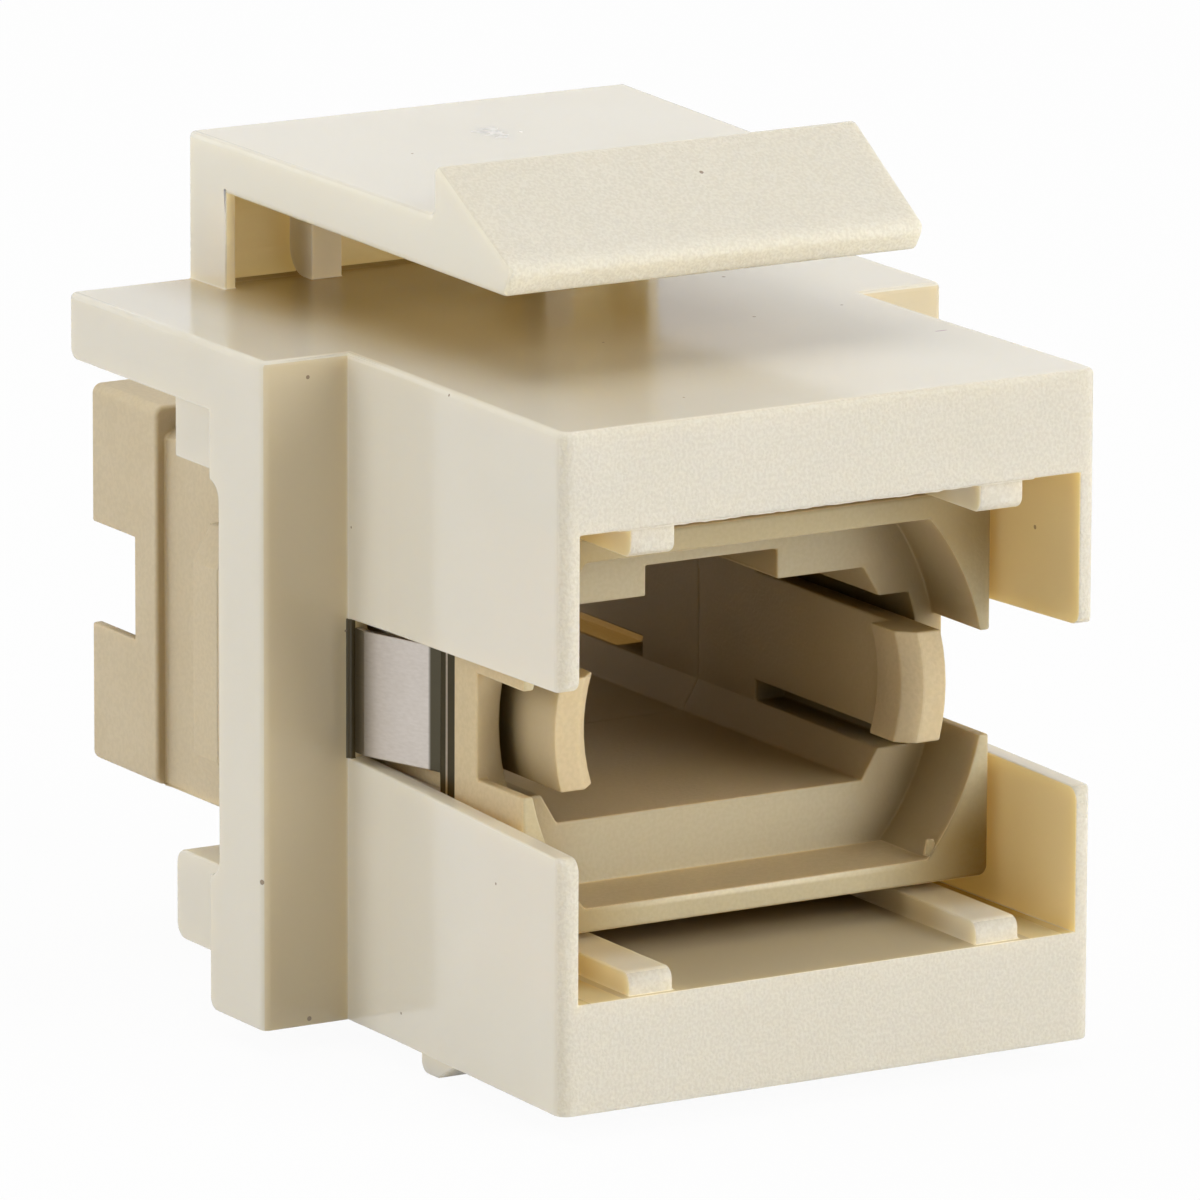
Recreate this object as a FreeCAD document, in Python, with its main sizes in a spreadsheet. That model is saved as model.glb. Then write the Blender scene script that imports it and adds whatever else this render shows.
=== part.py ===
import FreeCAD, Part
import math
import operator
import os
from types import SimpleNamespace

import Sketcher
from FreeCAD import Rotation, Vector

# A keystone-mount adapter that couples rectangular multi-fibre plugs, in millimetres.
# +X is right, +Y runs from the front mouth to the rear, +Z is up. The origin is on the plug axis,
# in the plane of the shoulder that stops against the panel.

driving = {
    # front block of the keystone frame, which fills the panel opening
    "block_width": 14.5,
    "block_height": 16.55,
    "block_depth": 10.45,
    "side_wall": 0.5,
    "wall_splay": 0.2,
    "panel_land": 2.0,
    "floor_thickness": 2.7,
    "ceiling_thickness": 2.5,
    # windows in the side walls, open at the front
    "window_front": 4.0,
    "window_rear": 3.45,
    "window_stop": 0.1,
    "window_rounding": 0.35,
    "front_rounding": 0.35,
    # guide ribs that centre the coupler
    "rib_width": 1.2,
    "rib_spacing": 9.7,
    "rib_setback": 0.2,
    "rib_rounding": 0.3,
    "guide_clearance": 0.2,
    # flange, top plate and the seat behind the flange
    "flange_width": 19.2,
    "flange_depth": 2.65,
    "flange_rounding": 0.2,
    "edge_rounding": 0.15,
    "top_plate_depth": 9.6,
    "top_plate_thickness": 1.65,
    "plate_rounding": 0.3,
    "seat_height": 9.8,
    "seat_relief": 0.45,
    "bar_width": 18.0,
    "bar_reach": 2.75,
    "lower_bar_height": 2.25,
    "bar_rounding": 0.4,
    # latch arm over the top plate, with its hook
    "arm_width": 12.5,
    "arm_thickness": 1.3,
    "arm_gap": 2.4,
    "arm_root": 1.7,
    "arm_droop": 0.17,
    "hook_taper": 0.475,
    "hook_back": 1.7,
    "hook_front": 5.3,
    "hook_height": 1.35,
    "hook_fall": 2.15,
    "hook_nose": 0.65,
    "hook_undercut": 0.4,
    "hook_rounding": 0.25,
    "hook_blend": 0.2,
    "core_depth": 1.1,
    "core_margin": 0.35,
    "core_rib": 0.85,
    "core_pocket": 2.15,
    "core_rounding": 0.7,
    # catch ridge below the block
    "catch_width": 14.1,
    "catch_drop": 0.57,
    "catch_back": 3.2,
    "catch_crest": 0.8,
    "catch_ramp": 1.0,
    "catch_rounding": 0.3,
    # coupler: two like halves, mouth to parting plane
    "coupler_width": 13.1,
    "coupler_height": 9.65,
    "half_length": 10.65,
    "collar_depth": 3.3,
    "body_inset": 0.3,
    "body_drop": 0.4,
    "body_bevel_width": 0.65,
    "body_bevel_height": 0.4,
    "collar_rounding": 0.25,
    "rim_rounding": 0.1,
    "wing_span": 17.8,
    "wing_height": 6.6,
    "wing_thickness": 1.3,
    "wing_bevel_width": 0.5,
    "wing_bevel_height": 0.9,
    "wing_rounding": 0.15,
    # mouth pocket with round sides, and the notches beside it
    "mouth_radius": 6.4,
    "mouth_height": 8.45,
    "mouth_depth": 2.2,
    "notch_height": 2.6,
    # plug bore with its key slot
    "bore_width": 9.5,
    "bore_height": 5.3,
    "bore_floor": 8.6,
    "key_width": 3.7,
    "key_depth": 0.75,
    # latch fingers in the sides of the bore
    "finger_height": 2.76,
    "finger_radius": 5.5,
    "finger_length": 7.65,
    "finger_setback": 0.3,
    "room_height": 3.8,
    "room_radius": 5.9,
    "claw_radius": 4.45,
    "claw_length": 1.5,
    "claw_bevel": 0.4,
    # spring-steel clip bent over the coupler
    "clip_thickness": 0.2,
    "clip_clearance": 0.05,
    "clip_bend": 0.4,
    "clip_leg": 3.6,
    "strip_width": 0.75,
    "tongue_height": 3.1,
    "tongue_gap": 0.45,
    "tongue_stop": 0.15,
    "tongue_tuck": 0.05,
    "tongue_tip": 0.45,
}

doc = FreeCAD.newDocument("fibre_adapter")
sheet = doc.addObject("Spreadsheet::Sheet", "Sizes")
for row, (name, number) in enumerate(driving.items(), start=1):
    sheet.set("A%d" % row, name)
    sheet.set("B%d" % row, str(number))
    sheet.setAlias("B%d" % row, name)
doc.recompute()


class Size:
    # A length with its value and the sheet expression that it comes from.
    def __init__(self, text, value):
        self.text = text
        self.value = value

    def __add__(self, other):
        return joined(self, "+", other)

    def __radd__(self, other):
        return joined(other, "+", self)

    def __sub__(self, other):
        return joined(self, "-", other)

    def __rsub__(self, other):
        return joined(other, "-", self)

    def __mul__(self, other):
        return joined(self, "*", other)

    def __truediv__(self, other):
        return joined(self, "/", other)

    def __neg__(self):
        return joined(0, "-", self)


work = {"+": operator.add, "-": operator.sub, "*": operator.mul, "/": operator.truediv}


def sized(length):
    if isinstance(length, Size):
        return length
    return Size("%g" % length, length)


def joined(left, sign, right):
    left = sized(left)
    right = sized(right)
    text = "(%s %s %s)" % (left.text, sign, right.text)
    return Size(text, work[sign](left.value, right.value))


def half_chord(radius, offset):
    # How far a circle about the axis reaches sideways at a height off the axis.
    square = radius * radius - offset * offset
    return Size("sqrt(%s)" % square.text, math.sqrt(square.value))


s = SimpleNamespace(**{name: Size("Sizes.%s" % name, number) for name, number in driving.items()})


def plane(body, role):
    return next(feature for feature in body.Origin.OriginFeatures if feature.Role == role)


def new_sketch(body, name, role, offset):
    sketch = body.newObject("Sketcher::SketchObject", name)
    sketch.AttachmentSupport = [(plane(body, role), "")]
    sketch.MapMode = "FlatFace"
    sketch.setExpression("AttachmentOffset.Base.z", sized(offset).text)
    return sketch


def arc_between(start, stop, turn, radius):
    # The shorter arc from start to stop, turning left or right on the way.
    chord = stop - start
    side = Vector(-chord.y, chord.x, 0).normalize()
    if turn == "right":
        side = -side
    rise = math.sqrt(radius * radius - (chord.Length / 2) ** 2)
    centre = (start + stop) / 2 + side * rise
    first, last = (start, stop) if turn == "left" else (stop, start)
    angles = [math.atan2(point.y - centre.y, point.x - centre.x) for point in (first, last)]
    return Part.ArcOfCircle(Part.Circle(centre, Vector(0, 0, 1), radius), *angles)


def outline(sketch, corners):
    # A closed outline whose corners are (x, y), or (x, y, turn, radius) where an arc leads onward.
    points = [Vector(sized(corner[0]).value, sized(corner[1]).value, 0) for corner in corners]
    edges = []
    rules = []
    for place, corner in enumerate(corners):
        start = points[place]
        stop = points[(place + 1) % len(points)]
        if len(corner) == 2:
            edges.append((sketch.addGeometry(Part.LineSegment(start, stop)), 1, 2))
            continue
        turn, radius = corner[2:]
        edge = sketch.addGeometry(arc_between(start, stop, turn, radius.value))
        edges.append((edge, 1, 2) if turn == "left" else (edge, 2, 1))
        rules.append((Sketcher.Constraint("Radius", edge, radius.value), radius))
    for place, corner in enumerate(corners):
        edge, first, last = edges[place]
        before, unused, end_before = edges[place - 1]
        rules.append((Sketcher.Constraint("Coincident", before, end_before, edge, first), None))
        for kind, axis, length in (("DistanceX", -2, corner[0]), ("DistanceY", -1, corner[1])):
            if isinstance(length, Size):
                rules.append((Sketcher.Constraint(kind, -1, 1, edge, first, length.value), length))
            else:
                rules.append((Sketcher.Constraint("PointOnObject", edge, first, axis), None))
    begin = sketch.ConstraintCount
    sketch.addConstraint([rule for rule, length in rules])
    for place, (rule, length) in enumerate(rules):
        if length:
            sketch.setExpression("Constraints[%d]" % (begin + place), length.text)


def box(left, right, low, high):
    return [(left, low), (right, low), (right, high), (left, high)]


def mirrored(corners):
    # The same outline on the other side of the upright axis.
    turned = []
    for place in range(len(corners) - 1, -1, -1):
        across, up = corners[place][:2]
        turned.append((-across, up) + tuple(corners[place - 1][2:]))
    return turned


def both_sides(corners):
    return [corners, mirrored(corners)]


def feature(body, kind, name, sketch, length, side="One side", turned=False):
    made = body.newObject("PartDesign::" + kind, name)
    made.Profile = sketch
    made.SideType = side
    made.Reversed = turned
    made.setExpression("Length", length.text)
    return made


def along(body, kind, name, front, back, outlines):
    # Outlines across the plug axis, carried from one depth to another.
    sketch = new_sketch(body, name + "_outline", "XZ_Plane", -sized(front))
    for corners in outlines:
        outline(sketch, corners)
    return feature(body, kind, name, sketch, back - front, turned=(kind == "Pad"))


def across(body, kind, name, width, outlines, role="YZ_Plane"):
    # Outlines seen from the side or from above, carried evenly to both sides.
    sketch = new_sketch(body, name + "_outline", role, 0)
    for corners in outlines:
        outline(sketch, corners)
    return feature(body, kind, name, sketch, width, side="Symmetric")


def upward(body, kind, name, low, high, outlines):
    # Outlines seen from above, carried from one level up to another.
    sketch = new_sketch(body, name + "_outline", "XY_Plane", low)
    for corners in outlines:
        outline(sketch, corners)
    return feature(body, kind, name, sketch, high - low, turned=(kind == "Pocket"))


def lies(edge, side=None, y=None, z=None):
    # Whether an edge lies all along at a distance from the middle plane, a depth or a height.
    span = edge.LastParameter - edge.FirstParameter
    for share in (0.0, 0.5, 1.0):
        point = edge.valueAt(edge.FirstParameter + share * span)
        for value, place in ((side, abs(point.x)), (y, point.y), (z, point.z)):
            if value is not None and abs(sized(value).value - place) > 0.001:
                return False
    return True


def leads(edge, start, stop):
    # Whether an edge runs along the line between two points (y, z) of the side view, though not straight across.
    first, last = [Vector(0, sized(y).value, sized(z).value) for y, z in (start, stop)]
    way = (last - first).normalize()
    ends = [Vector(0, vertex.Y, vertex.Z) for vertex in edge.Vertexes]
    off_line = max(((end - first) - way * way.dot(end - first)).Length for end in ends)
    return off_line < 0.001 and (ends[0] - ends[-1]).Length > 0.001


def dress(body, kind, name, size, chosen):
    doc.recompute()
    base = body.Tip
    names = ["Edge%d" % (place + 1) for place, edge in enumerate(base.Shape.Edges) if chosen(edge)]
    made = body.newObject("PartDesign::" + kind, name)
    made.Base = (base, names)
    made.setExpression("Radius" if kind == "Fillet" else "Size", size.text)


# Levels, depths and half widths that several pieces or features share.
top = s.block_height / 2
front = -s.block_depth
land = -s.panel_land
block_side = s.block_width / 2
front_side = block_side + s.wall_splay
wall_inside = block_side - s.side_wall
floor = s.floor_thickness - top
ceiling = top - s.ceiling_thickness
plate_under = top - s.top_plate_thickness
seat = s.flange_depth - s.seat_relief
seat_top = s.seat_height / 2
bar_back = s.flange_depth + s.bar_reach
parting = seat + s.wing_thickness
coupler_top = s.coupler_height / 2
coupler_side = s.coupler_width / 2
body_side = coupler_side - s.body_inset
body_top = coupler_top - s.body_drop
collar_back = s.collar_depth - s.half_length


def frame_walls(body):
    # Flange and top plate are one bent section, with the block ahead of it and two bars behind.
    across(body, "Pad", "flange", s.flange_width, [[
        (0, -top), (s.flange_depth, -top), (s.flange_depth, plate_under),
        (s.top_plate_depth, plate_under), (s.top_plate_depth, top), (0, top)]])
    flange_side = s.flange_width / 2
    dress(body, "Fillet", "rear_edges", s.plate_rounding, lambda edge:
          lies(edge, y=s.top_plate_depth, z=plate_under) or lies(edge, y=s.flange_depth, z=-top))
    dress(body, "Fillet", "flange_corners", s.flange_rounding, lambda edge: lies(edge, side=flange_side, y=0))

    # The side walls are straight where the panel lies, and spread a little towards the front.
    upward(body, "Pad", "block", -top, top, [[
        (-block_side, 0), (-block_side, land), (-front_side, front),
        (front_side, front), (block_side, land), (block_side, 0)]])
    dress(body, "Fillet", "front_corners", s.front_rounding, lambda edge: lies(edge, side=front_side, y=front))
    dress(body, "Fillet", "top_edges", s.edge_rounding, lambda edge:
          lies(edge, z=top) and not lies(edge, y=s.top_plate_depth))

    low_bar = -seat_top - s.lower_bar_height
    across(body, "Pad", "bars", s.bar_width, [
        box(s.flange_depth, bar_back, seat_top, plate_under), box(s.flange_depth, bar_back, low_bar, -seat_top)])
    dress(body, "Fillet", "bar_ends", s.bar_rounding, lambda edge:
          lies(edge, y=bar_back, z=-seat_top) or lies(edge, y=bar_back, z=low_bar))

    crest = -top - s.catch_drop
    crest_front = -s.catch_back - s.catch_crest
    across(body, "Pad", "catch_ridge", s.catch_width, [[
        (-s.catch_back, -top), (-s.catch_back, crest), (crest_front, crest), (crest_front - s.catch_ramp, -top)]])
    dress(body, "Fillet", "catch_edges", s.catch_rounding, lambda edge:
          lies(edge, y=-s.catch_back, z=crest) or lies(edge, y=crest_front, z=crest))


def latch_arm(body):
    # The arm rises from the rear of the top plate and runs forward to its hook, drooping a little.
    under = top + s.arm_gap
    over = under + s.arm_thickness
    hook_base = over - s.arm_droop
    hook_top = hook_base + s.hook_height
    nose_top = hook_top - s.hook_fall
    root_face = s.top_plate_depth - s.arm_root
    arm_side = s.arm_width / 2
    across(body, "Pad", "arm", s.arm_width, [[
        (s.top_plate_depth, top), (s.top_plate_depth, over), (-s.hook_back, hook_base), (-s.hook_back, hook_top),
        (-s.hook_front, nose_top), (s.hook_undercut - s.hook_front, nose_top - s.hook_nose),
        (root_face, under), (root_face, top)]])
    dress(body, "Fillet", "nose_edges", s.hook_rounding, lambda edge:
          lies(edge, y=-s.hook_front, z=nose_top)
          or lies(edge, y=s.hook_undercut - s.hook_front, z=nose_top - s.hook_nose))
    dress(body, "Fillet", "hook_edges", s.hook_blend, lambda edge:
          lies(edge, y=-s.hook_back, z=hook_base) or lies(edge, y=-s.hook_back, z=hook_top))
    upward(body, "Pocket", "arm_taper", top, hook_top, both_sides([
        (arm_side, s.top_plate_depth), (arm_side - s.hook_taper, -s.hook_front), (arm_side, -s.hook_front)]))
    dress(body, "Fillet", "arm_edges", s.edge_rounding, lambda edge:
          leads(edge, (s.top_plate_depth, over), (-s.hook_back, hook_base)))

    # The root of the arm is cored from its front, with two ribs left between three recesses.
    pocket_outer = arm_side - s.core_margin
    pocket_inner = pocket_outer - s.core_pocket
    middle = pocket_inner - s.core_rib
    along(body, "Pocket", "root_cores", root_face, root_face + s.core_depth,
          both_sides(box(pocket_inner, pocket_outer, top, under)) + [box(-middle, middle, top, under)])
    dress(body, "Fillet", "core_edges", s.core_rounding, lambda edge:
          lies(edge, y=root_face + s.core_depth, z=top) or lies(edge, y=root_face + s.core_depth, z=under))


def frame_openings(body):
    # The passage for the coupler, the side windows open at the front, and the relieved seat.
    mouth_side = wall_inside + s.wall_splay
    upward(body, "Pocket", "passage", floor, ceiling, [[
        (-mouth_side, front), (mouth_side, front), (wall_inside, land), (wall_inside, bar_back),
        (-wall_inside, bar_back), (-wall_inside, land)]])
    near = s.window_front / 2
    far = s.window_rear / 2
    stop = -s.window_stop
    flare = s.window_rounding
    across(body, "Pocket", "side_windows", front_side * 2, [[
        (front, -near - flare, "right", flare), (front + flare, -near), (stop, -far),
        (stop, far), (front + flare, near, "right", flare), (front, near + flare)]])
    relief = s.seat_relief
    across(body, "Pocket", "seat_relief", s.flange_width, [[
        (s.flange_depth, -seat_top), (s.flange_depth, seat_top, "left", relief),
        (seat, seat_top - relief), (seat, relief - seat_top, "left", relief)]])


def guide_ribs(body):
    reach = coupler_top + s.guide_clearance
    inner = (s.rib_spacing - s.rib_width) / 2
    outer = inner + s.rib_width
    rib_front = front + s.rib_setback
    along(body, "Pad", "ribs", rib_front, s.flange_depth,
          both_sides(box(inner, outer, floor, -reach)) + both_sides(box(inner, outer, reach, ceiling)))
    dress(body, "Fillet", "rib_ends", s.rib_rounding, lambda edge:
          lies(edge, y=rib_front, z=reach) or lies(edge, y=rib_front, z=-reach))


def keystone_frame():
    body = doc.addObject("PartDesign::Body", "keystone_frame")
    frame_walls(body)
    latch_arm(body)
    frame_openings(body)
    guide_ribs(body)
    return body


def coupler_shell(body, mouth):
    # Collar at the mouth, slimmer barrel behind it, and half of the flange wings at the parting plane.
    along(body, "Pad", "collar", mouth, collar_back, [box(-coupler_side, coupler_side, -coupler_top, coupler_top)])
    dress(body, "Fillet", "collar_edges", s.collar_rounding, lambda edge:
          lies(edge, side=coupler_side, z=coupler_top) or lies(edge, side=coupler_side, z=-coupler_top))
    dress(body, "Fillet", "rims", s.rim_rounding, lambda edge:
          lies(edge, side=coupler_side, y=mouth) or lies(edge, side=coupler_side, y=collar_back))

    bevel = body_side - s.body_bevel_width
    shoulder = body_top - s.body_bevel_height
    along(body, "Pad", "barrel", collar_back - s.rim_rounding, sized(0), [[
        (-body_side, -coupler_top), (body_side, -coupler_top), (body_side, shoulder),
        (bevel, body_top), (-bevel, body_top), (-body_side, shoulder)]])
    tip = s.wing_span / 2
    tip_bevel = tip - s.wing_bevel_width
    crown = s.wing_height / 2
    crown_bevel = crown - s.wing_bevel_height
    along(body, "Pad", "wings", -s.wing_thickness, sized(0), [[
        (-tip_bevel, -crown), (tip_bevel, -crown), (tip, -crown_bevel), (tip, crown_bevel),
        (tip_bevel, crown), (-tip_bevel, crown), (-tip, crown_bevel), (-tip, -crown_bevel)]])
    dress(body, "Fillet", "wing_edges", s.wing_rounding, lambda edge:
          lies(edge, y=-s.wing_thickness) and not lies(edge, side=body_side))


def coupler_mouth(body, mouth):
    # Mouth pocket, flat above and below and round at the sides, with a notch through each side.
    ledge = mouth + s.mouth_depth
    half_mouth = s.mouth_height / 2
    reach = half_chord(s.mouth_radius, half_mouth)
    along(body, "Pocket", "mouth", mouth, ledge, [[
        (-reach, -half_mouth), (reach, -half_mouth, "left", s.mouth_radius),
        (reach, half_mouth), (-reach, half_mouth, "left", s.mouth_radius)]])
    across(body, "Pocket", "notches", s.coupler_width, [
        box(mouth, ledge, -s.notch_height / 2, s.notch_height / 2)])

    # Plug bore with bevelled corners and a key slot above.
    wall = s.bore_width / 2
    foot = s.bore_floor / 2
    rise = s.bore_height / 2
    room = s.room_height / 2
    key = s.key_width / 2
    slot = rise + s.key_depth
    along(body, "Pocket", "bore", mouth, sized(0), [[
        (-foot, -rise), (foot, -rise), (wall, -room), (wall, room), (foot, rise), (key, rise), (key, slot),
        (-key, slot), (-key, rise), (-foot, rise), (-wall, room), (-wall, -room)]])

    # Room for the latch fingers to spread, the fingers in it, and the claws at their tips.
    finger_tip = mouth + s.finger_setback
    finger_root = finger_tip + s.finger_length
    room_reach = half_chord(s.room_radius, room)
    along(body, "Pocket", "finger_room", mouth, finger_root, both_sides([
        (wall, -room), (room_reach, -room, "left", s.room_radius), (room_reach, room), (wall, room)]))
    half_finger = s.finger_height / 2
    finger_reach = half_chord(s.finger_radius, half_finger)
    along(body, "Pad", "fingers", finger_tip, finger_root, both_sides([
        (wall, -half_finger), (finger_reach, -half_finger, "left", s.finger_radius),
        (finger_reach, half_finger), (wall, half_finger)]))
    claw_reach = half_chord(s.claw_radius, half_finger)
    along(body, "Pad", "claws", finger_tip, finger_tip + s.claw_length, both_sides([
        (wall, -half_finger), (wall, half_finger),
        (claw_reach, half_finger, "right", s.claw_radius), (claw_reach, -half_finger)]))
    dress(body, "Chamfer", "claw_lead", s.claw_bevel, lambda edge:
          isinstance(edge.Curve, Part.Circle) and lies(edge, y=finger_tip)
          and abs(edge.Curve.Radius - s.claw_radius.value) < 0.001)


def adapter_half(label, rear):
    body = doc.addObject("PartDesign::Body", label)
    mouth = -s.half_length
    coupler_shell(body, mouth)
    coupler_mouth(body, mouth)
    if rear:
        body.Placement.Rotation = Rotation(Vector(0, 0, 1), 180)
    body.setExpression("Placement.Base.y", parting.text)
    return body


def retaining_clip():
    body = doc.addObject("PartDesign::Body", "retaining_clip")
    outside = body_side + s.clip_thickness
    over = body_top + s.clip_thickness
    bend = s.clip_bend
    outer_bend = bend + s.clip_thickness
    shoulder = body_top - bend
    foot = -s.clip_leg
    begin = parting + collar_back + s.clip_clearance
    finish = seat - s.clip_clearance

    # A strip bent down both sides of the coupler.
    along(body, "Pad", "strip", begin, finish, [[
        (body_side, foot), (outside, foot), (outside, shoulder, "left", outer_bend),
        (body_side - bend, over), (bend - body_side, over, "left", outer_bend),
        (-outside, shoulder), (-outside, foot), (-body_side, foot), (-body_side, shoulder, "right", bend),
        (bend - body_side, body_top), (body_side - bend, body_top, "right", bend), (body_side, shoulder)]])
    tongue_half = s.tongue_height / 2
    root = begin + s.strip_width
    across(body, "Pocket", "leg_windows", outside * 2, [
        box(root, finish - s.strip_width, -tongue_half - s.tongue_gap, tongue_half + s.tongue_gap)])

    # Each tongue leaves the front strip, flares out into the window and straightens at its tip.
    crest = block_side - s.tongue_tuck
    under = crest - s.clip_thickness
    end = -s.window_stop - s.tongue_stop
    knee = end - s.tongue_tip
    across(body, "Pad", "tongues", s.tongue_height, both_sides([
        (body_side, begin), (outside, begin), (outside, root), (crest, knee), (crest, end),
        (under, end), (under, knee), (body_side, root)]), role="XY_Plane")
    return body


pieces = [
    keystone_frame(),
    adapter_half("front_adapter_half", rear=False),
    adapter_half("rear_adapter_half", rear=True),
    retaining_clip(),
]
doc.recompute()

for thing in doc.Objects:
    if "Invalid" in thing.State or "Error" in thing.State:
        raise RuntimeError("%s failed" % thing.Label)
    if thing.TypeId == "PartDesign::Pocket" and thing.Shape.Volume > thing.BaseFeature.Shape.Volume - 0.001:
        raise RuntimeError("%s cuts nothing" % thing.Label)

os.makedirs("parts", exist_ok=True)
for piece in pieces:
    shape = piece.Shape
    if shape.isNull() or not shape.isValid() or len(shape.Solids) != 1:
        raise RuntimeError("%s is not one sound solid" % piece.Label)
    shape.exportStep("parts/%s.step" % piece.Label)
    extent = shape.BoundBox
    print("%s: %.1f cubic mm, %.2f x %.2f x %.2f mm" % (
        piece.Label, shape.Volume, extent.XLength, extent.YLength, extent.ZLength))
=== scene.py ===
import math

import bpy
from mathutils import Matrix, Vector


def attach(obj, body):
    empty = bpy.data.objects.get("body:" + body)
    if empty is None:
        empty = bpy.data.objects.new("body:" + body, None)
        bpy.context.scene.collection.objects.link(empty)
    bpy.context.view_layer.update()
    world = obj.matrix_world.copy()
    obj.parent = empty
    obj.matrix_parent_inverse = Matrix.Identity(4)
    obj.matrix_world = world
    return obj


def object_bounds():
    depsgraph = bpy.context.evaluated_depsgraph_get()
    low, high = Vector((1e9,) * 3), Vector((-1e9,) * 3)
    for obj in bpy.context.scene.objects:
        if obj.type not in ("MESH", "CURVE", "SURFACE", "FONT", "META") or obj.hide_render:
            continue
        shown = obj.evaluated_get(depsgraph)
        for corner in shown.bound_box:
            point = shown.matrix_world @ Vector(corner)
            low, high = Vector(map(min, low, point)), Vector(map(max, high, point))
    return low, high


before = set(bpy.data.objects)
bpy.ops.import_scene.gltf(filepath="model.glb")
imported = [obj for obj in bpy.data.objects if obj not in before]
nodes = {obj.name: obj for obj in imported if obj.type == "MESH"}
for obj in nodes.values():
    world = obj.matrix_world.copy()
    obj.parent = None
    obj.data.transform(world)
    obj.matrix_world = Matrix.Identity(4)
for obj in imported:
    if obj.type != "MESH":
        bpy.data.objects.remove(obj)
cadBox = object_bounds()
mm = 0.001
white = (1, 1, 1, 1)
black = (0, 0, 0, 1)
# a normal's share along an axis, for a face that is square or only roughly square to it
squarely = 0.7
roughly = 0.5
print("frame loaded:", ", ".join(sorted(nodes)))


class Wire:
    # an output socket in a material, with Python's operators for its maths
    def __init__(self, tree, socket=None):
        self.tree = tree
        self.socket = socket

    def node(self, kind, settings, inputs, output=0):
        made = self.tree.nodes.new("ShaderNode" + kind)
        for key, value in settings.items():
            setattr(made, key, value)
        for key, value in inputs.items():
            if isinstance(value, Wire):
                self.tree.links.new(value.socket, made.inputs[key])
            else:
                made.inputs[key].default_value = value
        return Wire(self.tree, made.outputs[output] if made.outputs else None)

    def maths(self, operation, *values):
        return self.node("Math", {"operation": operation}, dict(enumerate(values)))

    def __add__(self, other):
        return self.maths("ADD", self, other)

    def __radd__(self, other):
        return self.maths("ADD", other, self)

    def __sub__(self, other):
        return self.maths("SUBTRACT", self, other)

    def __rsub__(self, other):
        return self.maths("SUBTRACT", other, self)

    def __mul__(self, other):
        return self.maths("MULTIPLY", self, other)

    def __rmul__(self, other):
        return self.maths("MULTIPLY", other, self)

    def __abs__(self):
        return self.maths("ABSOLUTE", self)

    def __lt__(self, other):
        return self.maths("LESS_THAN", self, other)

    def __gt__(self, other):
        return self.maths("GREATER_THAN", self, other)

    def within(self, low, high):
        # 1 between the two, with hard ends
        return (self > low) * (self < high)

    def band(self, low, high):
        # 0 below low, 1 above high, smooth between
        return self.node("MapRange", {"interpolation_type": "SMOOTHSTEP"},
                         {"Value": self, "From Min": low, "From Max": high})

    def also(self, output):
        # another output of the same node
        return Wire(self.tree, self.socket.node.outputs[output])

    def parts(self):
        # the three numbers of a vector
        first = self.node("SeparateXYZ", {}, {"Vector": self})
        return first, first.also(1), first.also(2)

    def away(self, point):
        return self.node("VectorMath", {"operation": "DISTANCE"}, {0: self, 1: point}, "Value")

    def stretch(self, scale):
        return self.node("VectorMath", {"operation": "MULTIPLY"}, {0: self, 1: scale})

    def tint(self, share, first, second):
        # a Mix node's colour sockets share their names, so they go by number
        return self.node("Mix", {"data_type": "RGBA"}, {0: share, 6: first, 7: second}, 2)


def newMaterial(name):
    material = bpy.data.materials.new(name)
    material.use_nodes = True
    material.node_tree.nodes.clear()
    material.cycles.emission_sampling = "NONE"  # a faint glow is no lamp
    return material, Wire(material.node_tree)


def finishMaterial(start, shader):
    start.node("OutputMaterial", {}, {"Surface": shader})


def objectPlace(start):
    return start.node("TexCoord", {}, {}, "Object")


def surfaceFacing(start):
    return start.node("NewGeometry", {}, {}, "Normal")


def noise(start, place, grain, detail):
    # grain is the size of one blotch in metres
    return start.node("TexNoise", {}, {"Vector": place, "Scale": 1 / grain, "Detail": detail})


def bumps(start, height, depth, strength=1.0):
    return start.node("Bump", {}, {"Strength": strength, "Distance": depth, "Height": height})


def openness(start, reach):
    # 1 on an open face, towards 0 deep in a recess
    return start.node("AmbientOcclusion", {"samples": 1, "only_local": True}, {"Distance": reach}, "AO")


def specks(start, place, spacing, radius, share):
    # sparse grains scattered through the plastic
    cells = start.node("TexVoronoi", {}, {"Vector": place, "Scale": 1 / spacing})
    return (cells < radius / spacing) * (cells.also("Color").parts()[0] < share)


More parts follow.
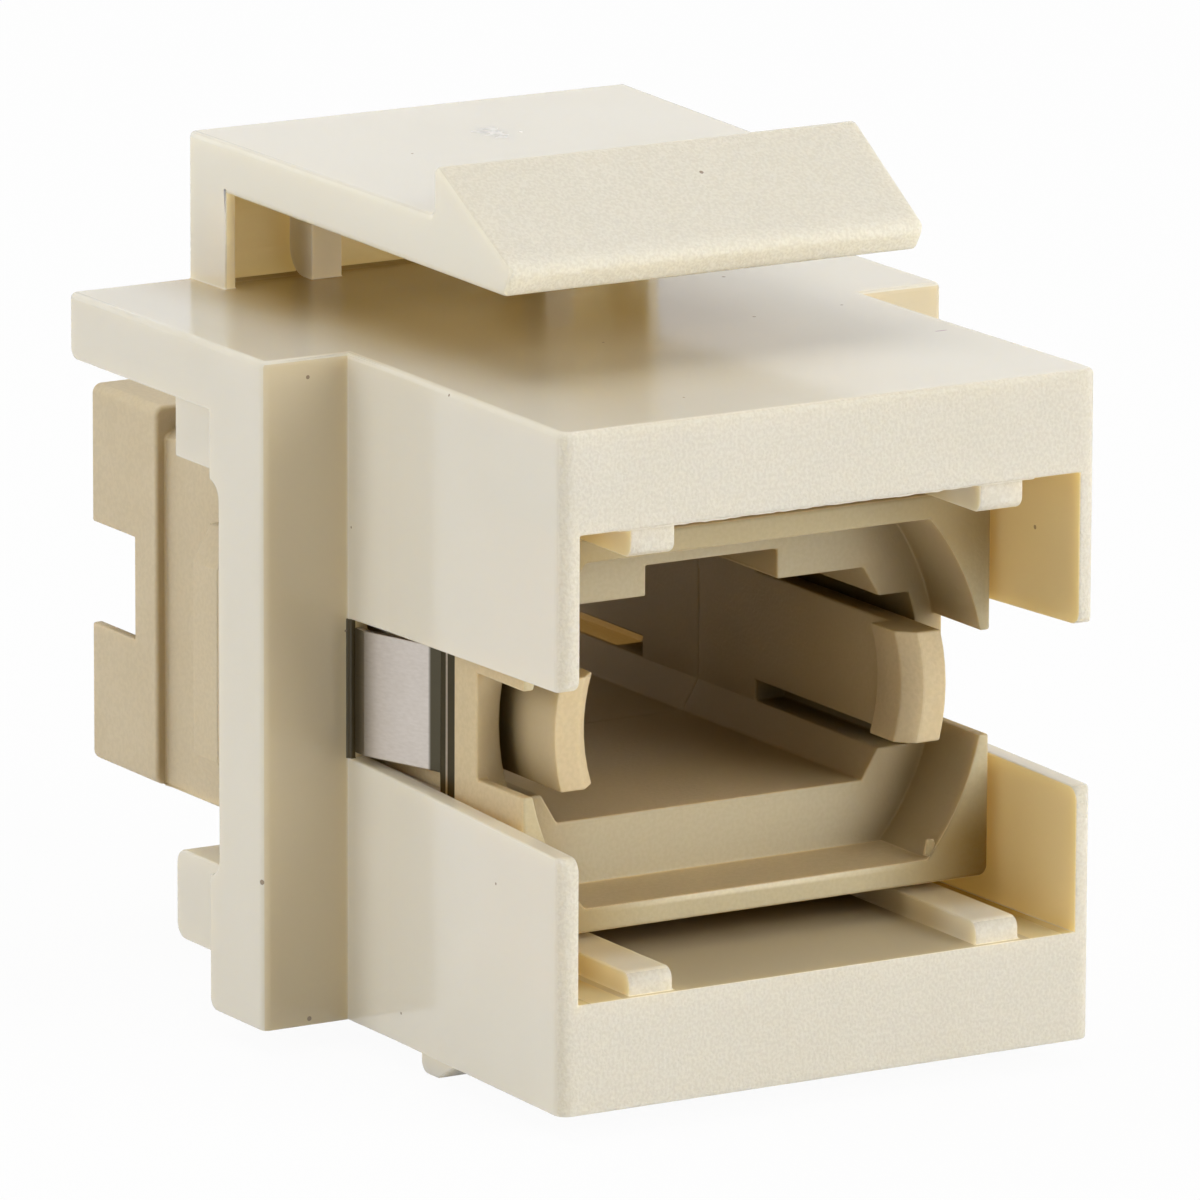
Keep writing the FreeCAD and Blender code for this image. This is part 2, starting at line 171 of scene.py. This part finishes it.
# the frame's plastic: tones, then the limits of the places that take them
# a pair of lengths is a soft edge, unless a note says otherwise
ivory = {
    "colour": (0.80, 0.75, 0.635, 1),
    "cloudy": (0.765, 0.71, 0.58, 1),
    "cloudSize": 4 * mm,
    "smooth": 0.09,
    "cloudRough": 0.06,
    "glow": 1.0,
    "glowReach": (1.0, 0.8, 0.42),
    "glowScale": 0.55 * mm,
    # mould grain
    "grained": 0.45,
    "grainSize": 0.085 * mm,
    "grainDepth": 0.03 * mm,
    "grainTone": (0.45, 0.38, 0.26, 1),
    "grainBand": (0.35, 0.65),
    "grainShade": 0.17,
    "grainTurn": (0.25, 0.5),
    "grainEnd": -1.5 * mm,
    # side walls, seen from inside
    "glowing": (0.82, 0.69, 0.40, 1),
    "through": (0.105, 0.068, 0.016, 1),
    "throughGlow": 1.0,
    "wallTurn": -3 * mm,  # normal times place, below 0 on a face that looks inwards
    "wallFace": 6.6 * mm,
    "cavityEnd": -0.2 * mm,
    # recess at the arm's root, with hard limits of height
    "rootFront": 7 * mm,
    "rootWall": 8.6 * mm,
    "rootHeight": (8.3 * mm, 10.9 * mm),
    "rootAcross": 6.15 * mm,
    # plate under the arm
    "shaded": (0.58, 0.43, 0.19, 1),
    "deepShade": (0.40, 0.27, 0.09, 1),
    "plateTop": 8.27 * mm,
    "plateSlack": 0.2 * mm,
    "shadeMiddle": -1.5 * mm,
    "shadeAcross": (2.3 * mm, 7 * mm),
    "shadeAlong": (-14 * mm, 4 * mm),
    "deepAlong": (2 * mm, 6 * mm),
    # arm's sides and hook's nose, paler with painted light
    "paleLitTone": (0.91, 0.865, 0.73, 1),
    "noseFoot": 8.6 * mm,
    "noseTop": (10.75 * mm, 11.4 * mm),
    "armSide": (9 * mm, 11.8 * mm),
    "armShare": 0.75,
    # painted shade on the front of the flange
    "flange": (0.72, 0.61, 0.405, 1),
    "flangeFront": -0.3 * mm,
    "flangeTop": 8.2 * mm,
    # cavity: painted light and shade on the ribs, floor and ceiling, and the corners beside the walls
    "inner": (0.78, 0.65, 0.40, 1),
    "ribTipLight": (0.98, 0.91, 0.74, 1),
    "ribAlong": (-9.4 * mm, -7.9 * mm),
    "ribShare": 0.8,
    "cavityHeight": 5.9 * mm,
    "floor": (0.64, 0.545, 0.355, 1),
    "floorTurn": -5.3 * mm,
    "floorHeight": 6 * mm,
    "dim": (0.22, 0.13, 0.03, 1),
    "dimAlong": (-7.5 * mm, -4.5 * mm),
    "cornerShade": (0.60, 0.40, 0.08, 1),
    "cornerAcross": 5.7 * mm,
    "cornerAlong": (-9.6 * mm, -7.8 * mm),
    # rear end of the side window, with hard limits
    "slit": (0.08, 0.06, 0.025, 1),
    "slitAcross": (7.1 * mm, 7.3 * mm),
    "slitHeight": 1.73 * mm,
    "slitAlong": 0.14 * mm,
    # reddish dash on the plate
    "stain": (0.60, 0.46, 0.45, 1),
    "stainPlace": (6.48 * mm, -4.9 * mm, 8.27 * mm),
    "stainStretch": (0.25, 1, 1),
    "stainRadius": 0.045 * mm,
    # dark grains: scattered ones, and those that the photograph shows, place and radius in mm
    "speck": (0.34, 0.26, 0.18, 1),
    "speckSpacing": 1.5 * mm,
    "speckRadius": 0.035 * mm,
    "speckShare": 0.25,
    "marks": (
        ((0.85, -2.96, 12.4), 0.055), ((5.26, 3.22, 8.27), 0.05), ((6.0, -1.11, 8.27), 0.04),
        ((3.41, -1.25, 8.27), 0.045), ((-9.58, 0.11, -4.56), 0.065), ((-8.35, 0.0, 7.79), 0.05),
        ((6.9, -8.54, 4.07), 0.055), ((-8.33, 0.0, -8.1), 0.06),
    ),
}


def ivoryPlastic():
    material, start = newMaterial("ivoryPlastic")
    place = objectPlace(start)
    side, along, height = place.parts()
    turnSide, turnAlong, turnUp = surfaceFacing(start).parts()
    across = abs(side)
    ahead = along < ivory["cavityEnd"]
    # the mould is grained where the front and the hook's slope face the user
    towardsFront = (0 - turnAlong).band(*ivory["grainTurn"]) * (along < ivory["grainEnd"])
    # light comes through the thin side walls and the root's recess, so they glow
    inWall = (turnSide * side < ivory["wallTurn"]) * (across > ivory["wallFace"]) * ahead
    atRoot = (along > ivory["rootFront"]) * height.within(*ivory["rootHeight"])
    atRoot = atRoot * (across < ivory["rootAcross"])
    inRecess = atRoot * (turnAlong < -roughly)
    inRoot = inRecess * (along > ivory["rootWall"])
    # little light gets between the arm and the plate
    onPlate = (turnUp > squarely) * (abs(height - ivory["plateTop"]) < ivory["plateSlack"])
    onPlate = onPlate * (1 - abs(side - ivory["shadeMiddle"]).band(*ivory["shadeAcross"]))
    underArm = onPlate * along.band(*ivory["shadeAlong"])
    deepUnder = onPlate * along.band(*ivory["deepAlong"])
    # painted light makes the arm's sides and the hook's nose paler, and painted shade makes the flange's
    # front warmer
    onArmSide = (abs(turnSide) > squarely) * height.band(*ivory["armSide"]) * ivory["armShare"]
    onNose = towardsFront * (height > ivory["noseFoot"]) * (1 - height.band(*ivory["noseTop"]))
    onFlange = (turnAlong < -squarely) * (along > ivory["flangeFront"]) * (height < ivory["flangeTop"])
    # the cavity in front of the flange, with painted light near its mouth and painted shade deeper in
    inside = (abs(height) < ivory["cavityHeight"]) * (across < ivory["wallFace"]) * ahead
    onRibs = inside * (turnAlong > -roughly) * ivory["ribShare"]
    # painted shade on the floor and ceiling, darker further in; in the corners beside the walls a painted
    # glow turns to painted shade further in
    inFloor = (turnUp * height < ivory["floorTurn"]) * (abs(height) < ivory["floorHeight"]) * ahead
    deepInside = inFloor * along.band(*ivory["dimAlong"])
    inCorner = inFloor * (across > ivory["cornerAcross"])
    # the window's rear end is in the tongue's shadow
    inSlit = across.within(*ivory["slitAcross"]) * (abs(height) < ivory["slitHeight"])
    inSlit = inSlit * (abs(along) < ivory["slitAlong"])
    # later tones lie over earlier ones
    grain = noise(start, place, ivory["grainSize"], 1)
    cloud = noise(start, place, ivory["cloudSize"], 1)
    ribLightAndShade = start.tint(along.band(*ivory["ribAlong"]), ivory["ribTipLight"], ivory["inner"])
    cornerGlowAndShade = start.tint(along.band(*ivory["cornerAlong"]), ivory["glowing"], ivory["cornerShade"])
    colour = start.tint(cloud, ivory["colour"], ivory["cloudy"])
    for share, tone in (
        (underArm, ivory["shaded"]), (deepUnder, ivory["deepShade"]), (onArmSide, ivory["paleLitTone"]),
        (onFlange, ivory["flange"]), (onNose, ivory["paleLitTone"]), (inSlit, ivory["slit"]),
        (onRibs, ribLightAndShade), (inFloor, ivory["floor"]), (deepInside, ivory["dim"]),
        (inCorner, cornerGlowAndShade), (inWall + inRoot, ivory["glowing"]),
        (towardsFront * grain.band(*ivory["grainBand"]) * ivory["grainShade"], ivory["grainTone"]),
    ):
        colour = start.tint(share, colour, tone)
    spots = specks(start, place, ivory["speckSpacing"], ivory["speckRadius"], ivory["speckShare"])
    for point, radius in ivory["marks"]:
        spots = spots + (place.away([value * mm for value in point]) < radius * mm)
    colour = start.tint(spots, colour, ivory["speck"])
    middle = [value * scale for value, scale in zip(ivory["stainPlace"], ivory["stainStretch"])]
    onStain = place.stretch(ivory["stainStretch"]).away(middle) < ivory["stainRadius"]
    colour = start.tint(onStain, colour, ivory["stain"])
    matte = start.node("Clamp", {}, {"Value": towardsFront + atRoot + inside + inSlit})
    rough = ivory["smooth"] + cloud * ivory["cloudRough"] + matte * (ivory["grained"] - ivory["smooth"])
    finishMaterial(start, start.node("BsdfPrincipled", {"subsurface_method": "BURLEY"}, {
        "Base Color": colour, "Roughness": rough,
        "Normal": bumps(start, grain, ivory["grainDepth"], towardsFront),
        "Emission Color": start.tint(inWall + inRecess, black, ivory["through"]),
        "Emission Strength": ivory["throughGlow"],
        "Subsurface Weight": ivory["glow"], "Subsurface Radius": ivory["glowReach"],
        "Subsurface Scale": ivory["glowScale"]}))
    return material


# the coupler's plastic, laid out in the same way
tan = {
    "colour": (0.71, 0.60, 0.42, 1),
    "cloudy": (0.66, 0.55, 0.37, 1),
    "cloudSize": 2 * mm,
    "rough": 0.55,
    "gloss": 0.06,
    "glow": 1.0,
    "glowReach": (1.0, 0.75, 0.36),
    "glowScale": 0.3 * mm,
    "middle": 3.5 * mm,
    # mould grain
    "grainSize": 0.11 * mm,
    "grainDepth": 0.008 * mm,
    "grainTone": (0.36, 0.28, 0.15, 1),
    "grainBand": (0.35, 0.65),
    "grainShade": 0.1,
    # the end inside the frame, and painted shade in recesses
    "warm": (0.72, 0.565, 0.32, 1),
    "warmShare": 0.55,
    "frameEnd": (-2 * mm, 0.5 * mm),
    "recessShade": (0.17, 0.11, 0.03, 1),
    "deepReach": 4 * mm,
    "deepBand": (0.05, 0.5),
    # painted shade on the rim of the mouth
    "rimShade": (0.61, 0.525, 0.336, 1),
    "rimCornerShade": (0.30, 0.19, 0.05, 1),
    "rimStart": 10.5 * mm,
    "rimAcross": (2.5 * mm, 6.8 * mm),
    "rimHeight": (2 * mm, 4 * mm),
    "rimAbove": (1.5 * mm, 4.3 * mm),
    "upperCornerLess": 0.3,
    "upperMiddleMore": 0.12,
    # painted highlight along the edge of the lower lip
    "lipHighlight": (0.86, 0.78, 0.58, 1),
    "lipHeight": -4.28 * mm,
    "lipFade": (0.03 * mm, 0.12 * mm),
    "lipAcross": (1 * mm, 4.8 * mm),
    "lipShare": 0.8,
    # steps of the pocket, with hard limits along it
    "stepWall": (0.58, 0.51, 0.35, 1),
    "stepFloor": (0.655, 0.525, 0.31, 1),
    "pocketAlong": (8.3 * mm, 10.6 * mm),
    "pocketAcross": 6.5 * mm,
    "pocketHeight": 4.4 * mm,
    "pocketShare": 0.9,
    "stepEnd": 8.6 * mm,
    "stepAcross": (3 * mm, 5.6 * mm),
    "stepHeight": 4 * mm,
    # painted shade in the bore
    "bore": (0.30, 0.19, 0.05, 1),
    "boreShare": 0.3,
    "boreAcross": 4.85 * mm,
    "boreHeight": 2.75 * mm,
    "boreAlong": (5 * mm, 9.5 * mm),
    # rear finger slots, with hard limits
    "backlit": (1.0, 0.55, 0.13, 1),
    "backlitGlow": 0.12,
    "slotAcross": (4.85 * mm, 5.75 * mm),
    "slotHeight": 2.2 * mm,
    "slotAlong": (7.6 * mm, 10.8 * mm),
}


def tanPlastic():
    material, start = newMaterial("tanPlastic")
    place = objectPlace(start)
    side, depth, rise = place.parts()
    turnAlong, turnUp = [abs(turn) for turn in surfaceFacing(start).parts()[1:]]
    across = abs(side)
    along = abs(depth - tan["middle"])
    height = abs(rise)
    inFrame = 1 - depth.band(*tan["frameEnd"])
    onward = turnAlong > squarely
    # painted shade: the rims inside the frame are darker, most at their corners, in the frame's shade
    onRim = onward * (along > tan["rimStart"])
    outward = across.band(*tan["rimAcross"])
    above = rise.band(*tan["rimAbove"])
    corner = outward * height.band(*tan["rimHeight"]) * (1 - above * tan["upperCornerLess"])
    corner = corner + (1 - outward) * above * tan["upperMiddleMore"]
    # painted highlight along the lower lip's edge
    onLipHighlight = 1 - abs(rise - tan["lipHeight"]).band(*tan["lipFade"])
    onLipHighlight = onLipHighlight * (1 - across.band(*tan["lipAcross"])) * tan["lipShare"]
    # the steps behind the rim catch light
    inPocket = along.within(*tan["pocketAlong"]) * (across < tan["pocketAcross"])
    inPocket = inPocket * (height < tan["pocketHeight"]) * tan["pocketShare"]
    onWall = onward * (along < tan["stepEnd"]) * (1 - across.band(*tan["stepAcross"]))
    onFloor = (turnUp > squarely) * (height > tan["stepHeight"])
    # painted shade: the bore darkens towards its middle, where the plugs meet
    inBore = (across < tan["boreAcross"]) * (height < tan["boreHeight"])
    inBore = inBore * (1 - along.band(*tan["boreAlong"])) * tan["boreShare"]
    # daylight reaches the rear finger slots through the thin wall of the collar
    inSlot = across.within(*tan["slotAcross"]) * (height < tan["slotHeight"])
    inSlot = inSlot * depth.within(*tan["slotAlong"])
    # later tones lie over earlier ones
    grain = noise(start, place, tan["grainSize"], 1)
    rimShading = start.tint(corner, tan["rimShade"], tan["rimCornerShade"])
    colour = start.tint(noise(start, place, tan["cloudSize"], 1), tan["colour"], tan["cloudy"])
    # light off the ivory walls warms the half inside the frame
    colour = start.tint(inFrame * tan["warmShare"], colour, tan["warm"])
    # painted shade, darker in recesses
    colour = start.tint(openness(start, tan["deepReach"]).band(*tan["deepBand"]), tan["recessShade"], colour)
    for share, tone in (
        (onRim * inFrame, rimShading), (onRim * onLipHighlight, tan["lipHighlight"]), (inPocket * onWall, tan["stepWall"]),
        (inPocket * onFloor, tan["stepFloor"]), (inBore, tan["bore"]),
        (grain.band(*tan["grainBand"]) * tan["grainShade"], tan["grainTone"]),
    ):
        colour = start.tint(share, colour, tone)
    finishMaterial(start, start.node("BsdfPrincipled", {"subsurface_method": "BURLEY"}, {
        "Base Color": colour, "Roughness": tan["rough"], "Specular IOR Level": tan["gloss"],
        "Normal": bumps(start, grain, tan["grainDepth"]),
        "Emission Color": start.tint(inSlot, black, tan["backlit"]), "Emission Strength": tan["backlitGlow"],
        "Subsurface Weight": tan["glow"], "Subsurface Radius": tan["glowReach"],
        "Subsurface Scale": tan["glowScale"]}))
    return material


steel = {
    "colour": (0.66, 0.61, 0.565, 1),
    "dull": (0.55, 0.50, 0.45, 1),
    "rough": 0.28,
    "brushRough": 0.15,
    "brushSize": 0.06 * mm,
    "brushStretch": (1, 0.15, 1),
    "brushDepth": 0.002 * mm,
    # painted shade on the strip at the tongue's front, left off its bright cut edge
    "strip": (0.085, 0.075, 0.05, 1),
    "stripEnd": (-2.78 * mm, -2.66 * mm),
    "cutEdge": -3.36 * mm,
    "cutFade": (0.03 * mm, 0.06 * mm),
    # painted dark reflection on the curled rear end
    "curlDarkReflection": (0.10, 0.085, 0.055, 1),
    "curl": (-1.2 * mm, -0.35 * mm),
}


def springSteel():
    material, start = newMaterial("springSteel")
    place = objectPlace(start)
    along = place.parts()[1]
    sideways = abs(surfaceFacing(start).parts()[0]) > squarely
    brush = noise(start, place.stretch(steel["brushStretch"]), steel["brushSize"], 2)
    # painted shade on the strip at the tongue's front, apart from its cut edge
    offEdge = abs(along - steel["cutEdge"]).band(*steel["cutFade"])
    onStrip = (1 - along.band(*steel["stripEnd"])) * offEdge * sideways
    # painted dark reflection where the tongue curls in at its rear end
    onCurl = along.band(*steel["curl"]) * sideways
    colour = start.tint(brush, steel["colour"], steel["dull"])
    colour = start.tint(onStrip, colour, steel["strip"])
    colour = start.tint(onCurl, colour, steel["curlDarkReflection"])
    finishMaterial(start, start.node("BsdfPrincipled", {}, {
        "Base Color": colour, "Metallic": 1.0, "Roughness": steel["rough"] + brush * steel["brushRough"],
        "Normal": bumps(start, brush, steel["brushDepth"])}))
    return material


# pale and dark tone of each kind of torn plastic
tornPlastic = {
    "scar": ((0.88, 0.85, 0.79, 1), (0.78, 0.73, 0.64, 1)),
    "flash": ((0.82, 0.77, 0.66, 1), (0.75, 0.69, 0.57, 1)),
    "rough": 0.5,
    "grainSize": 0.16 * mm,
    "grainDepth": 0.015 * mm,
    "grainBand": (0.5, 0.75),
}


def torn(kind):
    material, start = newMaterial(kind + "Plastic")
    pale, dark = tornPlastic[kind]
    grain = noise(start, objectPlace(start), tornPlastic["grainSize"], 2)
    finishMaterial(start, start.node("BsdfPrincipled", {}, {
        "Base Color": start.tint(grain.band(*tornPlastic["grainBand"]), pale, dark),
        "Roughness": tornPlastic["rough"],
        "Normal": bumps(start, grain, tornPlastic["grainDepth"])}))
    return material


finishes = {
    "keystone_frame": ivoryPlastic(),
    "front_adapter_half": tanPlastic(),
    "retaining_clip": springSteel(),
}
finishes["rear_adapter_half"] = finishes["front_adapter_half"]
for name, finish in finishes.items():
    nodes[name].data.materials.clear()
    nodes[name].data.materials.append(finish)
print("finishes on", len(finishes), "pieces")


# every edge is a little soft
softEdges = {
    "widths": {
        "keystone_frame": 0.045 * mm,
        "front_adapter_half": 0.05 * mm,
        "rear_adapter_half": 0.05 * mm,
        "retaining_clip": 0.03 * mm,
    },
    "weldWithin": 0.0005 * mm,
    "flatWithin": math.radians(0.5),
    "sharpFrom": math.radians(40),
    "segments": 2,
}
for name, width in softEdges["widths"].items():
    weld = nodes[name].modifiers.new("weld", "WELD")
    weld.merge_threshold = softEdges["weldWithin"]
    flat = nodes[name].modifiers.new("flat", "DECIMATE")
    flat.decimate_type = "DISSOLVE"
    flat.angle_limit = softEdges["flatWithin"]
    soft = nodes[name].modifiers.new("soft", "BEVEL")
    soft.width = width
    soft.segments = softEdges["segments"]
    soft.limit_method = "ANGLE"
    soft.angle_limit = softEdges["sharpFrom"]
    soft.use_clamp_overlap = False
    shade = nodes[name].modifiers.new("shade", "WEIGHTED_NORMAL")
    shade.keep_sharp = True
print("edges softened")


# small leavings of the moulding
def deselectAll():
    bpy.ops.object.select_all(action="DESELECT")


def endPiece(piece, name, finish):
    # the place goes into the mesh and the piece goes onto the part
    bpy.ops.object.mode_set(mode="OBJECT")
    piece.name = name
    bpy.ops.object.transform_apply(location=True, rotation=True, scale=True)
    piece.data.materials.clear()
    piece.data.materials.append(finish)
    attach(piece, "root")


def pickVertices(piece, wanted):
    bpy.ops.mesh.select_all(action="DESELECT")
    bpy.ops.object.mode_set(mode="OBJECT")
    for vertex in piece.data.vertices:
        vertex.select = wanted(vertex.co)
    bpy.ops.object.mode_set(mode="EDIT")


def roughen(offset, seed):
    bpy.ops.transform.vertex_random(offset=offset, uniform=0, normal=0, seed=seed)


def roundOff(piece, levels):
    bpy.ops.object.mode_set(mode="OBJECT")
    rounder = piece.modifiers.new("rounder", "SUBSURF")
    rounder.levels = levels
    rounder.render_levels = levels
    bpy.ops.object.modifier_apply(modifier="rounder")
    bpy.ops.object.shade_smooth()


# torn stub of the moulding gate, on the arm
gateScar = {
    "place": (0.3 * mm, 5.9 * mm, 11.9 * mm),
    "slope": 0.015,
    "radius": 0.72 * mm,
    "corners": 26,
    "rise": 0.015 * mm,
    "rings": 3,
    "ringShare": 0.22,
    "torn": 0.025 * mm,
    "seed": 4,
    "rounding": 2,
}
deselectAll()
bpy.ops.mesh.primitive_circle_add(vertices=gateScar["corners"], radius=gateScar["radius"], fill_type="NGON",
                                  location=gateScar["place"], rotation=(gateScar["slope"], 0, 0))
scar = bpy.context.object
bpy.ops.object.mode_set(mode="EDIT")
bpy.ops.mesh.select_all(action="SELECT")
bpy.ops.mesh.extrude_region_move(TRANSFORM_OT_translate={"value": (0, 0, gateScar["rise"])})
for ring in range(gateScar["rings"]):
    bpy.ops.mesh.inset(thickness=gateScar["ringShare"] * gateScar["radius"])
bpy.ops.mesh.poke()
pickVertices(scar, lambda point: point.z > gateScar["rise"] / 2)  # the upper face alone
roughen(gateScar["torn"], gateScar["seed"])
roundOff(scar, gateScar["rounding"])
endPiece(scar, "gate_scar", torn("scar"))

# ragged flash under the front edge of the upper bar
flash = {
    "middle": (-0.1 * mm, -10.385 * mm, 5.765 * mm),
    "size": (11.6 * mm, 0.05 * mm, 0.05 * mm),
    "cuts": 110,
    "ragged": 0.055 * mm,
    "seed": 9,
    "rounding": 1,
}
deselectAll()
bpy.ops.mesh.primitive_cube_add(size=1, location=flash["middle"], scale=flash["size"])
lip = bpy.context.object
bpy.ops.object.transform_apply(location=False, rotation=False, scale=True)
bpy.ops.object.mode_set(mode="EDIT")
bpy.ops.mesh.select_mode(type="EDGE")
bpy.ops.mesh.select_all(action="DESELECT")
bpy.ops.object.mode_set(mode="OBJECT")
for edge in lip.data.edges:  # the long edges alone
    first, last = [lip.data.vertices[corner].co for corner in edge.vertices]
    edge.select = abs(first.x - last.x) > flash["size"][0] / 2
bpy.ops.object.mode_set(mode="EDIT")
bpy.ops.mesh.subdivide(number_cuts=flash["cuts"])
bpy.ops.mesh.select_mode(type="VERT")
pickVertices(lip, lambda point: point.z < 0)
roughen(flash["ragged"], flash["seed"])
roundOff(lip, flash["rounding"])
endPiece(lip, "bar_flash", torn("flash"))

# burr in the lower right corner of the mouth
mouthBurr = {
    "place": (4.93 * mm, -7.06 * mm, -3.95 * mm),
    "size": (0.24 * mm, 0.16 * mm, 0.4 * mm),
    "lean": 0.15,
    "cuts": 1,
    "ragged": 0.07 * mm,
    "seed": 3,
    "blunted": 0.02 * mm,
}
deselectAll()
bpy.ops.mesh.primitive_cube_add(size=1, location=mouthBurr["place"], rotation=(0, mouthBurr["lean"], 0),
                                scale=mouthBurr["size"])
nub = bpy.context.object
bpy.ops.object.transform_apply(location=False, rotation=False, scale=True)
bpy.ops.object.mode_set(mode="EDIT")
bpy.ops.mesh.select_all(action="SELECT")
bpy.ops.mesh.subdivide(number_cuts=mouthBurr["cuts"])
roughen(mouthBurr["ragged"], mouthBurr["seed"])
bpy.ops.mesh.bevel(offset=mouthBurr["blunted"], segments=1, affect="EDGES")
endPiece(nub, "mouth_burr", finishes["front_adapter_half"])
print("moulding marks added")


# the stage: pale floor, soft boxes and the photograph's camera
studio = {
    "floor": (0.86, 0.86, 0.86, 1),
    "floorWhite": 0.95,
    "floorSize": 4,
    "ambient": 0.13,
    # place, size and watts of each soft box
    "lamps": {
        "topBox": ((-0.02, 0.06, 0.32), 0.34, 0.5),
        "leftBox": ((-0.36, 0.06, 0.12), 0.3, 0.65),
        "rightBox": ((0.22, -0.34, 0.12), 0.3, 1.4),
        "sideBox": ((0.30, 0.08, 0.26), 0.24, 0.2),
        "rearBox": ((-0.06, 0.30, 0.28), 0.24, 0.18),
    },
}


def seenDirectly(start):
    # 1 for what the camera, a gloss or a glass sees, 0 for light on the object
    ray = start.node("LightPath", {}, {}, "Is Camera Ray")
    rays = ray + ray.also("Is Glossy Ray") + ray.also("Is Transmission Ray")
    return start.node("Clamp", {}, {"Value": rays})


def paleFloor():
    material, start = newMaterial("paleFloor")
    paper = start.node("BsdfDiffuse", {}, {"Color": studio["floor"]})
    bare = start.node("Emission", {}, {"Color": white, "Strength": 1.0})
    share = seenDirectly(start) * studio["floorWhite"]
    finishMaterial(start, start.node("MixShader", {}, {0: share, 1: paper, 2: bare}))
    return material


deselectAll()
bpy.ops.mesh.primitive_plane_add(size=studio["floorSize"], location=(0, 0, cadBox[0][2]))
floor = bpy.context.object
floor.name = "floor"
floor.data.materials.append(paleFloor())

world = bpy.data.worlds.new("tent")
bpy.context.scene.world = world
world.use_nodes = True
world.node_tree.nodes.clear()
sky = Wire(world.node_tree)
dim = sky.node("Background", {}, {"Color": white, "Strength": studio["ambient"]})
bright = sky.node("Background", {}, {"Color": white, "Strength": 1.0})
tent = sky.node("MixShader", {}, {0: seenDirectly(sky), 1: dim, 2: bright})
sky.node("OutputWorld", {}, {"Surface": tent})

for name, (place, size, watts) in studio["lamps"].items():
    bpy.ops.object.light_add(type="AREA", location=place)
    lamp = bpy.context.object
    lamp.name = name
    lamp.data.size = size
    lamp.data.energy = watts
    lamp.visible_glossy = False  # gloss shows the white tent alone
    lamp.rotation_euler = (-Vector(place)).to_track_quat("-Z", "Y").to_euler()

# angles in degrees, and the lens in pixels of the photograph
photoView = {
    "azimuth": -30.82,
    "elevation": 13.05,
    "roll": 0.22,
    "target": (-3.44 * mm, -5.47 * mm, 2.845 * mm),
    "distance": 318.14 * mm,
    "focalPixels": 13322.9,
    "imagePixels": 1200,
    "nearest": 1 * mm,
}
azimuth = math.radians(photoView["azimuth"])
elevation = math.radians(photoView["elevation"])
roll = Matrix.Rotation(math.radians(photoView["roll"]), 3, "Z")
level = math.cos(elevation)
back = Vector((math.sin(azimuth) * level, -math.cos(azimuth) * level, math.sin(elevation)))
bpy.ops.object.camera_add(location=Vector(photoView["target"]) + back * photoView["distance"])
camera = bpy.context.object
camera.rotation_euler = ((-back).to_track_quat("-Z", "Y").to_matrix() @ roll).to_euler()
camera.data.lens = camera.data.sensor_width * photoView["focalPixels"] / photoView["imagePixels"]
camera.data.clip_start = photoView["nearest"]
bpy.context.scene.camera = camera
bpy.context.scene.view_settings.view_transform = "Standard"
print("stage ready")
